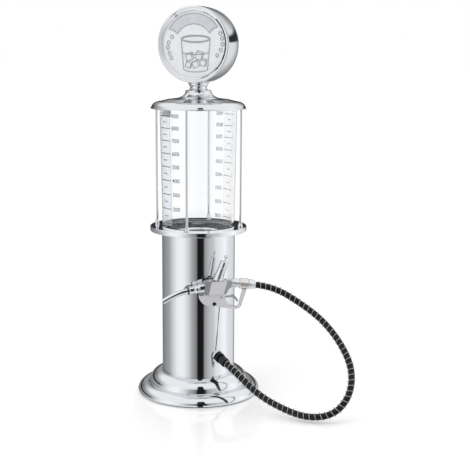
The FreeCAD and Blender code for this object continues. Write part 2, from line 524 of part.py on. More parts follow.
# hose connector, nut and ferrules
nut_from, nut_to = 13.4, 25.0
add("hose_connector", turned_along([
    (2.6, -4.5), (4.0, -4.5), (4.0, 2.9), (4.9, 3.3), (4.9, 4.7), (6.0, 5.1), (6.0, 10.9),
    (4.9, 11.5), (4.9, nut_from), (4.0, nut_from), (4.0, nut_to), (2.6, nut_to)], rear_root, rear_axis))
nut_blank = turned_along([(0, nut_from), (6.4, nut_from), (7.1, nut_from + 0.8), (7.1, nut_to - 1.0),
                          (6.3, nut_to), (0, nut_to)], rear_root, rear_axis)
add("hose_nut", hexagon(13.4, rear_root + rear_axis * nut_from, rear_axis, nut_to - nut_from,
                        4.01).common(nut_blank))
gun_ferrule = [(2.6, nut_to), (5.6, nut_to), (6.4, nut_to + 0.8), (6.3, nut_to + 4.0), (5.7, REAR_L),
               (2.6, REAR_L)]
add("hose_ferrule_gun", turned_along(gun_ferrule, rear_root, rear_axis))
ferrule = [(2.6, 0), (5.0, 0), (FERRULE_R, 0.8), (FERRULE_R, 9.2), (5.6, 10.0), (2.6, 10.0)]
outlet_tip = at(OUTLET_AZ, COLUMN_R, OUTLET_Z) + tail_dir * outlet_end
add("hose_ferrule_outlet", turned_along(ferrule, outlet_tip, tail_dir))

# ---- hose and its wire guard ----------------------------------------------------------------------
hose_end = outlet_tip + tail_dir * 10.0
route = [hose_start, hose_start + rear_axis * 25.0] + [V(*p) for p in (
    (124, -76, 127), (146, -94, 109), (162, -117, 85), (169, -140, 60), (161, -158, 33),
    (140, -163, 12), (111, -154, 5.4), (85, -134, 11.5), (57, -108, 24))]
route += [hose_end + tail_dir * 24.0, hose_end]
hose, hose_length, radii = tube_along(route, HOSE_R)
add("hose", hose)
guard_out, guard_in = tube_along(route, GUARD_R)[0], tube_along(route, GUARD_R - GUARD_T)[0]
add("hose_guard", guard_out.cut(guard_in))

print("hose length %.1f, bend radii %s" % (hose_length, ["%.1f" % r for r in radii]))
print("hose volume %.1f, section x length %.1f" % (hose.Volume, math.pi * HOSE_R ** 2 * hose_length))

os.makedirs("parts", exist_ok=True)
for name, shape in NODES.items():
    solids = shape.Solids
    if not solids or not shape.isValid():
        print("CHECK", name, len(solids), shape.isValid())
    whole = solids[0] if len(solids) == 1 else Part.makeCompound(solids)
    whole.exportStep("parts/%s.step" % name)
print(len(NODES), "nodes")
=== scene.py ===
"""Looks of a countertop drinks dispenser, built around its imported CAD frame.

Metres, +Z up, origin at the centre of the foot pad. Azimuths are degrees from -Y towards +X, so the
nozzle gun faces azimuth 0 and the sign faces azimuth -30.
"""
import logging
import math
from dataclasses import dataclass
from enum import Enum
from typing import Dict, List, Optional, Sequence, Tuple, Union

import bpy
from mathutils import Matrix, Vector


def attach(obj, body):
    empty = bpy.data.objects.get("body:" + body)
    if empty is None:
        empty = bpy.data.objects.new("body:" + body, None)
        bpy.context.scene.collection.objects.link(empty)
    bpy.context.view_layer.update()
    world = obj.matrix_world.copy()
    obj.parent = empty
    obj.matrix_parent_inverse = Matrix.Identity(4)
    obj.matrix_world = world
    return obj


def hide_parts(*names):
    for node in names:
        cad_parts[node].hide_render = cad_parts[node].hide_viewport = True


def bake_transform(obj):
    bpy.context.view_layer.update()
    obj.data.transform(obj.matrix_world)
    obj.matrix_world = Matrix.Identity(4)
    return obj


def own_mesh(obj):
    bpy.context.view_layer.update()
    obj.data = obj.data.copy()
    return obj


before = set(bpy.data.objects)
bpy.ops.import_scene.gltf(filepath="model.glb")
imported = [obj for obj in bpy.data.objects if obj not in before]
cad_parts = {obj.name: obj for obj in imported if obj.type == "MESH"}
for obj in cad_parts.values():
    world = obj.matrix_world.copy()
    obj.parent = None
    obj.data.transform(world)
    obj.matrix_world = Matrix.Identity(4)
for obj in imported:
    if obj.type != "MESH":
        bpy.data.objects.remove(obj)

LOG = logging.getLogger("dispenser")
MM = 0.001
CAMERA_HEADING = 11.425     # degrees from +Y towards +X
Colour = Tuple[float, float, float, float]
Point = Tuple[float, float, float]
Socket = bpy.types.NodeSocket
Value = Union[float, int, bool, str, Sequence[float], Socket]


def srgb(code: str) -> Colour:
    """Turns an sRGB hex colour into linear RGBA.

    Args:
        code: Six hex digits, with or without a leading '#'.

    Returns:
        Linear red, green and blue, with alpha 1.
    """
    digits = code.lstrip("#")
    parts = [int(digits[i:i + 2], 16) / 255 for i in (0, 2, 4)]
    linear = [p / 12.92 if p <= 0.04045 else ((p + 0.055) / 1.055) ** 2.4 for p in parts]
    return linear[0], linear[1], linear[2], 1.0


def add_node(tree: bpy.types.NodeTree, kind: str, inputs: Optional[Dict[Union[str, int], Value]] = None,
             **settings: object) -> bpy.types.Node:
    """Adds one node with its settings, socket values and links.

    Args:
        tree: The node tree that gets the node.
        kind: The node's type name.
        inputs: Socket name or number to a value, or to an output socket to link from.
        settings: The node's own properties.

    Returns:
        The new node.
    """
    node = tree.nodes.new(kind)
    for name, value in settings.items():
        setattr(node, name, value)
    for key, value in (inputs or {}).items():
        if isinstance(value, bpy.types.NodeSocket):
            tree.links.new(value, node.inputs[key])
        else:
            node.inputs[key].default_value = value
    return node


def soft_step(tree: bpy.types.NodeTree, value: Socket, start: float, end: float) -> Socket:
    """Adds a ramp that is 0 at the start and 1 at the end, and flat beyond them.

    Args:
        tree: The node tree.
        value: What is compared with the two ends.
        start: Value that gives 0; it may be above the end.
        end: Value that gives 1.

    Returns:
        The ramp's socket.
    """
    return add_node(tree, "ShaderNodeMapRange", {
        "Value": value, "From Min": start, "From Max": end}).outputs[0]


def product(tree: bpy.types.NodeTree, factors: Sequence[Value]) -> Socket:
    """All the factors multiplied; the first one is a socket."""
    total = factors[0]
    for factor in factors[1:]:
        total = add_node(tree, "ShaderNodeMath", {0: total, 1: factor}, operation="MULTIPLY").outputs[0]
    return total


def direction(azimuth: float) -> Vector:
    """Level unit vector that points to an azimuth in degrees."""
    angle = math.radians(azimuth)
    return Vector((math.sin(angle), -math.cos(angle), 0.0))


def around(azimuth: float, radius: float, height: float) -> Vector:
    """Point at an azimuth in degrees, a radius and a height."""
    return direction(azimuth) * radius + Vector((0.0, 0.0, height))


# ---- finishes ---------------------------------------------------------------------------------------
@dataclass(frozen=True)
class Finish:
    """A material and how its surface was made."""

    name: str

    def material(self) -> bpy.types.Material:
        """Makes the material the first time it is asked for.

        Returns:
            The Blender material of this finish.
        """
        made = bpy.data.materials.get(self.name)
        if made is None:
            made = bpy.data.materials.new(self.name)
            made.use_nodes = True
            tree = made.node_tree
            tree.nodes.clear()
            shader = add_node(tree, "ShaderNodeBsdfPrincipled")
            add_node(tree, "ShaderNodeOutputMaterial", {"Surface": shader.outputs[0]})
            self.dress(tree, shader)
        return made

    def dress(self, tree: bpy.types.NodeTree, shader: bpy.types.Node) -> None:
        """Gives the shader its values and patterns; each finish has its own."""
        raise NotImplementedError

    @staticmethod
    def noise(tree: bpy.types.NodeTree, size_mm: float, detail: float = 2.0,
              stretch: Tuple[float, float, float] = (1.0, 1.0, 1.0)) -> Socket:
        """Noise on object coordinates with blobs of a real size.

        Args:
            tree: The material's node tree.
            size_mm: Size of one blob in millimetres.
            detail: Octaves of finer noise.
            stretch: How much closer together the blobs lie along each axis.

        Returns:
            The noise factor socket.
        """
        place = add_node(tree, "ShaderNodeTexCoord")
        mapped = add_node(tree, "ShaderNodeMapping", {"Vector": place.outputs["Object"], "Scale": stretch})
        noise = add_node(tree, "ShaderNodeTexNoise", {
            "Vector": mapped.outputs[0], "Scale": 1000.0 / size_mm, "Detail": detail, "Roughness": 0.55})
        return noise.outputs["Fac"]

    @staticmethod
    def between(tree: bpy.types.NodeTree, factor: Socket, low: float, high: float) -> Socket:
        """Spreads the middle of a noise factor over a range of values.

        Args:
            tree: The material's node tree.
            factor: The noise factor.
            low: Value at the dark end.
            high: Value at the bright end.

        Returns:
            The mapped value's socket.
        """
        return add_node(tree, "ShaderNodeMapRange", {
            "Value": factor, "From Min": 0.3, "From Max": 0.7, "To Min": low, "To Max": high}).outputs[0]

    @staticmethod
    def bump(tree: bpy.types.NodeTree, shader: bpy.types.Node, height: Socket, depth_mm: float,
             strength: float = 1.0) -> None:
        """Raises the surface by a height pattern of a real depth in millimetres."""
        bumped = add_node(tree, "ShaderNodeBump", {
            "Height": height, "Distance": depth_mm * MM, "Strength": strength})
        tree.links.new(bumped.outputs[0], shader.inputs["Normal"])


@dataclass(frozen=True)
class BrightMetal(Finish):
    """Steel or zinc, polished and chrome plated: a mirror with faint buffing haze."""

    colour: str = "#E6E8EB"
    roughness: float = 0.045
    haze: float = 0.05              # how much handling and buffing add to the roughness
    ripple_mm: float = 0.003        # depth of the hand-polished waviness
    ripple_size_mm: float = 22.0

    def dress(self, tree: bpy.types.NodeTree, shader: bpy.types.Node) -> None:
        """Mirror metal whose gloss drifts a little and whose surface is very slightly wavy."""
        # a plated mirror gives sharp room bands; the drift in gloss keeps it from looking computed
        shader.inputs["Base Color"].default_value = srgb(self.colour)
        shader.inputs["Metallic"].default_value = 1.0
        clouds = self.noise(tree, 14.0, 4.0)
        gloss = self.between(tree, clouds, self.roughness, self.roughness + self.haze)
        tree.links.new(gloss, shader.inputs["Roughness"])
        self.bump(tree, shader, self.noise(tree, self.ripple_size_mm, 0.0), self.ripple_mm)


@dataclass(frozen=True)
class BlastedMetal(Finish):
    """Die-cast zinc, bead blasted and nickel plated: satin, with a fine even grain."""

    colour: str = "#EFEFF1"
    roughness: float = 0.38
    grain_mm: float = 1.0           # real grit is nearer 0.1; this coarse it still shows
    metallic: float = 0.62          # the pits scatter light as a matt white would

    def dress(self, tree: bpy.types.NodeTree, shader: bpy.types.Node) -> None:
        """Satin metal with grit pits."""
        shader.inputs["Base Color"].default_value = srgb(self.colour)
        shader.inputs["Metallic"].default_value = self.metallic
        grit = self.noise(tree, self.grain_mm, 3.0)
        tree.links.new(self.between(tree, grit, self.roughness - 0.08, self.roughness + 0.1),
                       shader.inputs["Roughness"])
        self.bump(tree, shader, grit, 0.12, 0.8)


@dataclass(frozen=True)
class PlainMetal(Finish):
    """Turned or sawn metal: zinc-plated steel, brass, black oxide or a rough casting."""

    colour: str = "#B9BBBE"
    roughness: float = 0.3
    metallic: float = 1.0
    grain_mm: float = 0.8
    grain_depth_mm: float = 0.02

    def dress(self, tree: bpy.types.NodeTree, shader: bpy.types.Node) -> None:
        """Metal with tool grain and uneven gloss."""
        shader.inputs["Base Color"].default_value = srgb(self.colour)
        shader.inputs["Metallic"].default_value = self.metallic
        grain = self.noise(tree, self.grain_mm, 3.0)
        tree.links.new(self.between(tree, grain, self.roughness * 0.75, self.roughness * 1.3),
                       shader.inputs["Roughness"])
        self.bump(tree, shader, grain, self.grain_depth_mm)


@dataclass(frozen=True)
class ClearMoulding(Finish):
    """Injection-moulded SAN: water clear, with faint flow waviness in the wall."""

    colour: str = "#FBFCFD"
    ior: float = 1.49
    flow_mm: float = 30.0

    def dress(self, tree: bpy.types.NodeTree, shader: bpy.types.Node) -> None:
        """Clear plastic that bends what is seen through it only at its edges."""
        shader.inputs["Base Color"].default_value = srgb(self.colour)
        shader.inputs["Transmission Weight"].default_value = 1.0
        shader.inputs["IOR"].default_value = self.ior
        shader.inputs["Roughness"].default_value = 0.0
        self.bump(tree, shader, self.noise(tree, self.flow_mm, 0.0, (1.0, 1.0, 0.25)), 0.01, 0.5)


@dataclass(frozen=True)
class Plastic(Finish):
    """Moulded plastic, paint or rubber with its own grain and sheen."""

    colour: str = "#F4F4F3"
    shade: str = "#EBEBEA"          # the darker end of its uneven colour
    roughness: float = 0.3
    grain_mm: float = 1.2
    grain_depth_mm: float = 0.01
    alpha: float = 1.0
    ior: float = 1.5

    def dress(self, tree: bpy.types.NodeTree, shader: bpy.types.Node) -> None:
        """Opaque or filmy plastic with a soft drift of colour and a moulded texture."""
        clouds = self.noise(tree, 9.0, 3.0)
        mix = add_node(tree, "ShaderNodeMix", {
            "Factor": self.between(tree, clouds, 0.0, 1.0), 6: srgb(self.colour), 7: srgb(self.shade)},
            data_type="RGBA")
        tree.links.new(mix.outputs[2], shader.inputs["Base Color"])
        shader.inputs["IOR"].default_value = self.ior
        shader.inputs["Alpha"].default_value = self.alpha
        grain = self.noise(tree, self.grain_mm, 2.0)
        tree.links.new(self.between(tree, grain, self.roughness * 0.8, self.roughness * 1.2),
                       shader.inputs["Roughness"])
        self.bump(tree, shader, grain, self.grain_depth_mm)


@dataclass(frozen=True)
class StudioFloor(Finish):
    """White laminate sweep: matt, with a faint mirror image of the base in front of it."""

    colour: str = "#F7F7F7"
    roughness: float = 0.08
    ior: float = 1.45
    glow: float = 0.12              # washes the sheet out to white
    gloss: float = 0.9
    gloss_ends: Tuple[float, float] = (-0.34, -0.08)    # metres behind the axis; negative is in front
    gloss_starts: Tuple[float, float] = (0.0, -0.05)
    gloss_sides: Tuple[float, float] = (0.085, 0.045)   # metres to either side of the axis

    def dress(self, tree: bpy.types.NodeTree, shader: bpy.types.Node) -> None:
        """White sheet that glows a little, glossy only where the base and the column mirror in it."""
        shader.inputs["Base Color"].default_value = srgb(self.colour)
        shader.inputs["Roughness"].default_value = self.roughness
        shader.inputs["IOR"].default_value = self.ior
        shader.inputs["Emission Color"].default_value = srgb("#FFFFFF")
        shader.inputs["Emission Strength"].default_value = self.glow
        place = add_node(tree, "ShaderNodeTexCoord")
        turned = add_node(tree, "ShaderNodeMapping", {
            "Vector": place.outputs["Object"], "Rotation": (0.0, 0.0, math.radians(CAMERA_HEADING))})
        split = add_node(tree, "ShaderNodeSeparateXYZ", {0: turned.outputs[0]})
        aside = add_node(tree, "ShaderNodeMath", {0: split.outputs["X"]}, operation="ABSOLUTE")
        level = product(tree, [
            soft_step(tree, split.outputs["Y"], *self.gloss_ends),
            soft_step(tree, split.outputs["Y"], *self.gloss_starts),
            soft_step(tree, aside.outputs[0], *self.gloss_sides),
            self.gloss])
        tree.links.new(level, shader.inputs["Specular IOR Level"])


class Finishes(Enum):
    """Every finish on the dispenser."""

    MIRROR_CHROME = BrightMetal("mirror_chrome")
    COLUMN_STEEL = BrightMetal("column_polished_steel", "#E2E4E7", 0.035, 0.04, 0.004, 40.0)
    CAST_CHROME = BrightMetal("cast_chrome", "#E4E5E8", 0.06, 0.08, 0.02, 5.0)
    NUT_CHROME = BrightMetal("nut_chrome", "#E4E0E0", 0.09, 0.08, 0.01, 3.0)
    BLASTED_NICKEL = BlastedMetal("blasted_nickel")
    PILLAR_STEEL = BrightMetal("pillar_ground_steel", "#E9EAEC", 0.16, 0.1, 0.004, 6.0)
    SPRING_WIRE = BrightMetal("spring_wire", "#D6D7DA", 0.14, 0.1, 0.004, 3.0)
    ZINC_PLATE = PlainMetal("zinc_plated_steel")
    BLACK_OXIDE = PlainMetal("black_oxide_steel", "#1B1B1D", 0.35, 0.6)
    CAST_IRON = PlainMetal("cast_iron", "#4A4A4C", 0.6, 0.8, 1.6, 0.1)
    BRASS = PlainMetal("turned_brass", "#C9A45C", 0.25)
    CLEAR_SAN = ClearMoulding("clear_san")
    SIGN_FACE = Plastic("sign_white_styrene", "#DBDCDF", "#D4D5D9", 0.22)
    LID_PLASTIC = Plastic("lid_white_polypropylene", "#E8E9EC", "#DCDDE2", 0.35)
    SCALE_FILM = Plastic("scale_frosted_film", "#CDCFD9", "#C5C7D3", 0.5, 0.8, 0.01, 0.42)
    REAR_FILM = Plastic("rear_scale_film", "#D8DAE2", "#D0D2DC", 0.5, 0.8, 0.01, 0.12)
    SCALE_INK = Plastic("scale_grey_ink", "#2C2E32", "#232529", 0.5)
    # painted shade: the grey on the raised sign lines stands in for the shade of the embossed relief
    SIGN_LINE_SHADE = Plastic("sign_line_painted_shade", "#A3A6AB", "#93969C", 0.4)
    SIGN_WASH = Plastic("sign_wash", "#C3C5CA", "#BABCC2", 0.35)
    HOSE_RUBBER = Plastic("hose_black_rubber", "#0B0B0C", "#070708", 0.4, 0.9, 0.05, 1.0, 1.38)
    SEAL_RUBBER = Plastic("seal_black_rubber", "#1A1A1B", "#121213", 0.5, 0.7, 0.03)
    SILICONE = Plastic("silicone_translucent", "#DADBD8", "#CFD0CC", 0.3, 1.0, 0.02)
    STUDIO_FLOOR = StudioFloor("studio_floor")

    def material(self) -> bpy.types.Material:
        """The Blender material of this finish."""
        return self.value.material()

    def on_nodes(self, *names: str) -> None:
        """Gives CAD nodes this finish."""
        for name in names:
            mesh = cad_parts[name].data
            mesh.materials.clear()
            mesh.materials.append(self.material())
        LOG.info("%s on %s", self.value.name, ", ".join(names))


# ---- geometry helpers -----------------------------------------------------------------------------
def mesh_object(name: str, points: Sequence[Point], edges: Sequence[Tuple[int, int]] = (),
                faces: Sequence[Sequence[int]] = (), finish: Optional[Finishes] = None) -> bpy.types.Object:
    """Makes an object from points, edges and faces, with its place in its mesh.

    Args:
        name: The object's name.
        points: Vertices in metres.
        edges: Pairs of vertex numbers.
        faces: Rings of vertex numbers.
        finish: The finish, if the mesh is shown as it is.

    Returns:
        The linked object at the origin.
    """
    mesh = bpy.data.meshes.new(name)
    mesh.from_pydata([tuple(p) for p in points], list(edges), [list(f) for f in faces])
    mesh.update()
    if finish is not None:
        mesh.materials.append(finish.material())
    made = bpy.data.objects.new(name, mesh)
    bpy.context.scene.collection.objects.link(made)
    return made


def polyline(name: str, points: Sequence[Point], closed: bool = False) -> bpy.types.Object:
    """Wire object through points, for a pattern tree to follow."""
    edges = [(i, i + 1) for i in range(len(points) - 1)]
    if closed:
        edges.append((len(points) - 1, 0))
    return mesh_object(name, points, edges)


def lines(name: str, strokes: Sequence[Tuple[Sequence[Point], bool]]) -> bpy.types.Object:
    """Wire object of several strokes, each a list of points and whether it closes."""
    points: List[Point] = []
    edges: List[Tuple[int, int]] = []
    for stroke, closed in strokes:
        first = len(points)
        points += [tuple(p) for p in stroke]
        edges += [(i, i + 1) for i in range(first, len(points) - 1)]
        if closed:
            edges.append((len(points) - 1, first))
    return mesh_object(name, points, edges)


def joined(name: str, parts: Sequence[bpy.types.Object]) -> bpy.types.Object:
    """Joins mesh objects into one object, keeping their materials."""
    with bpy.context.temp_override(active_object=parts[0], selected_editable_objects=list(parts)):
        bpy.ops.object.join()
    parts[0].name = name
    return parts[0]


class PatternTree:
    """A Geometry Nodes tree with named sizes, turned into plain meshes."""

    def __init__(self, name: str) -> None:
        """Starts a tree that takes a geometry and gives one back."""
        self.tree = bpy.data.node_groups.new(name, "GeometryNodeTree")
        self.tree.interface.new_socket("Geometry", in_out="INPUT", socket_type="NodeSocketGeometry")
        self.tree.interface.new_socket("Geometry", in_out="OUTPUT", socket_type="NodeSocketGeometry")
        self.source = add_node(self.tree, "NodeGroupInput")
        self.sizes: Dict[str, Tuple[str, float]] = {}

    @property
    def geometry(self) -> Socket:
        """The geometry that the tree is given."""
        return self.source.outputs[0]

    def size(self, name: str, value: float) -> Socket:
        """Adds a named size.

        Args:
            name: What the size is.
            value: Its value; an int makes a whole-number input.

        Returns:
            The socket that carries it.
        """
        kind = "NodeSocketInt" if isinstance(value, int) else "NodeSocketFloat"
        item = self.tree.interface.new_socket(name, in_out="INPUT", socket_type=kind)
        self.sizes[name] = (item.identifier, value)
        return self.source.outputs[name]

    def add(self, kind: str, inputs: Optional[Dict[Union[str, int], Value]] = None,
            **settings: object) -> bpy.types.Node:
        """Adds a node to this tree."""
        return add_node(self.tree, kind, inputs, **settings)

    def maths(self, operation: str, first: Value, second: Value = 0.0) -> Socket:
        """Result of one sum on two numbers or sockets."""
        return self.add("ShaderNodeMath", {0: first, 1: second}, operation=operation).outputs[0]

    def close(self, geometry: Socket, finish: Finishes, smooth: bool = True) -> None:
        """Ends the tree: shading, real geometry and its finish."""
        shaded = self.add("GeometryNodeSetShadeSmooth", {"Geometry": geometry, "Shade Smooth": smooth})
        real = self.add("GeometryNodeRealizeInstances", {"Geometry": shaded.outputs[0]})
        dressed = self.add("GeometryNodeSetMaterial", {"Geometry": real.outputs[0],
                                                       "Material": finish.material()})
        self.add("NodeGroupOutput", {0: dressed.outputs[0]})

    def on(self, target: bpy.types.Object, **changes: float) -> bpy.types.Object:
        """Runs the tree on an object and keeps the result as its plain mesh.

        Args:
            target: The object whose mesh goes in and whose mesh is replaced.
            changes: Sizes that differ from the tree's own, by name.

        Returns:
            The same object, without a modifier.
        """
        modifier = target.modifiers.new(self.tree.name, "NODES")
        modifier.node_group = self.tree
        for name, (identifier, value) in self.sizes.items():
            modifier[identifier] = changes.get(name, value)
        bpy.context.view_layer.update()
        depsgraph = bpy.context.evaluated_depsgraph_get()
        result = bpy.data.meshes.new_from_object(target.evaluated_get(depsgraph))
        target.modifiers.clear()
        target.data = result
        return target


def tube_tree(name: str, finish: Finishes, radius: float, sides: int = 12) -> PatternTree:
    """Tree that turns wires into round tubes.

    Args:
        name: The tree's name.
        finish: The tube's finish.
        radius: Tube radius in metres.
        sides: Faces around the tube.

    Returns:
        The tree, with sizes "radius" and "sides".
    """
    pattern = PatternTree(name)
    radius_in, sides_in = pattern.size("radius", radius), pattern.size("sides", sides)
    path = pattern.add("GeometryNodeMeshToCurve", {"Mesh": pattern.geometry})
    ring = pattern.add("GeometryNodeCurvePrimitiveCircle", {"Resolution": sides_in, "Radius": radius_in})
    tube = pattern.add("GeometryNodeCurveToMesh", {
        "Curve": path.outputs[0], "Profile Curve": ring.outputs[0], "Fill Caps": True})
    pattern.close(tube.outputs[0], finish)
    return pattern


def coil_tree(name: str, finish: Finishes, coil_radius: float, wire_radius: float, pitch: float,
              steps: int = 18) -> PatternTree:
    """Tree that winds a round wire about a path.

    Args:
        name: The tree's name.
        finish: The wire's finish.
        coil_radius: From the path to the middle of the wire, in metres.
        wire_radius: Half the wire's thickness.
        pitch: Length of one turn along the path.
        steps: Points in one turn.

    Returns:
        The tree, with its sizes as named inputs.
    """
    pattern = PatternTree(name)
    reach = pattern.size("coil radius", coil_radius)
    wire = pattern.size("wire radius", wire_radius)
    turn = pattern.size("pitch", pitch)
    per_turn = pattern.size("steps", steps)
    path = pattern.add("GeometryNodeMeshToCurve", {"Mesh": pattern.geometry})
    fine = pattern.add("GeometryNodeResampleCurve", {
        "Curve": path.outputs[0], "Length": pattern.maths("DIVIDE", turn, per_turn)}, mode="LENGTH")
    along = pattern.add("GeometryNodeSplineParameter")
    angle = pattern.maths("MULTIPLY", pattern.maths("DIVIDE", along.outputs["Length"], turn), math.tau)
    normal = pattern.add("GeometryNodeInputNormal")
    tangent = pattern.add("GeometryNodeInputTangent")
    side = pattern.add("ShaderNodeVectorMath", {0: tangent.outputs[0], 1: normal.outputs[0]},
                       operation="CROSS_PRODUCT")
    up_part = pattern.add("ShaderNodeVectorMath", {
        0: normal.outputs[0], "Scale": pattern.maths("MULTIPLY", pattern.maths("COSINE", angle), reach)},
        operation="SCALE")
    side_part = pattern.add("ShaderNodeVectorMath", {
        0: side.outputs[0], "Scale": pattern.maths("MULTIPLY", pattern.maths("SINE", angle), reach)},
        operation="SCALE")
    offset = pattern.add("ShaderNodeVectorMath", {0: up_part.outputs[0], 1: side_part.outputs[0]})
    wound = pattern.add("GeometryNodeSetPosition", {"Geometry": fine.outputs[0],
                                                    "Offset": offset.outputs[0]})
    ring = pattern.add("GeometryNodeCurvePrimitiveCircle", {"Resolution": 7, "Radius": wire})
    coil = pattern.add("GeometryNodeCurveToMesh", {
        "Curve": wound.outputs[0], "Profile Curve": ring.outputs[0], "Fill Caps": True})
    pattern.close(coil.outputs[0], finish)
    return pattern


# ---- hose -------------------------------------------------------------------------------------------
@dataclass
class HoseLine:
    """Rubber hose in a wire guard, from the gun round to the column's outlet."""

    radius: float = 4.0 * MM
    guard_radius: float = 5.15 * MM
    wire_radius: float = 0.36 * MM
    pitch: float = 7.0 * MM
    length: float = 404.0 * MM
    route: Tuple[Point, ...] = (
        (0.06254, -0.0595, 0.15316), (0.0873, -0.0595, 0.14968), (0.124, -0.076, 0.127),
        (0.146, -0.094, 0.109), (0.162, -0.117, 0.085), (0.169, -0.140, 0.060), (0.161, -0.158, 0.033),
        (0.140, -0.163, 0.012), (0.111, -0.154, 0.0062), (0.085, -0.134, 0.0115), (0.057, -0.108, 0.024),
        (0.03483, -0.08205, 0.04537), (0.02577, -0.06071, 0.05158))

    def build(self) -> None:
        points = self.smooth_route()
        hose = tube_tree("hose_wall", Finishes.HOSE_RUBBER, self.radius, 20).on(polyline("hose_tube", points))
        guard = coil_tree("guard_winding", Finishes.SPRING_WIRE, self.guard_radius, self.wire_radius,
                          self.pitch).on(polyline("hose_guard_wire", points))
        for piece in (hose, guard):
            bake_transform(piece)
        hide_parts("hose")
        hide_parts("hose_guard")
        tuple(self.route[0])
        LOG.info("hose and guard: %d path points", len(points))

    def smooth_route(self) -> List[Point]:
        """Points along the smooth curve that the route's points control.

        Returns:
            Points in metres, from the gun to the outlet.
        """
        data = bpy.data.curves.new("hose_route", "CURVE")
        data.dimensions = "3D"
        data.resolution_u = 14
        spline = data.splines.new("NURBS")
        spline.points.add(len(self.route) - 1)
        for control, place in zip(spline.points, self.route):
            control.co = (*place, 1.0)
        spline.order_u = 3
        spline.use_endpoint_u = True
        curve = bpy.data.objects.new("hose_route", data)
        bpy.context.scene.collection.objects.link(curve)
        bpy.context.view_layer.update()
        depsgraph = bpy.context.evaluated_depsgraph_get()
        wire = bpy.data.meshes.new_from_object(curve.evaluated_get(depsgraph))
        points = [tuple(v.co) for v in wire.vertices]
        bpy.data.objects.remove(curve)
        return points


# ---- base and column --------------------------------------------------------------------------------
@dataclass
class BaseAndColumn:
    """Stepped base, polished column with its fittings, and what is inside them."""

    def build(self) -> None:
        """Dresses the nodes of the base and the column."""
        Finishes.MIRROR_CHROME.on_nodes("base_shell", "collar", "canister_cup", "outlet_washer")
        Finishes.COLUMN_STEEL.on_nodes("column_tube")
        Finishes.CAST_IRON.on_nodes("base_weight")
        Finishes.ZINC_PLATE.on_nodes("base_plate", "base_screws", "tie_rods", "tie_nuts", "nozzle_hook",
                                     "hook_screws", "drain_nut", "drain_spigot")
        Finishes.SEAL_RUBBER.on_nodes("base_pad", "hose_ferrule_outlet")
        Finishes.BRASS.on_nodes("outlet_nut")
        Finishes.SILICONE.on_nodes("drain_hose", "drain_seal", "collar_gasket")
        Finishes.BLACK_OXIDE.on_nodes("outlet_fitting")


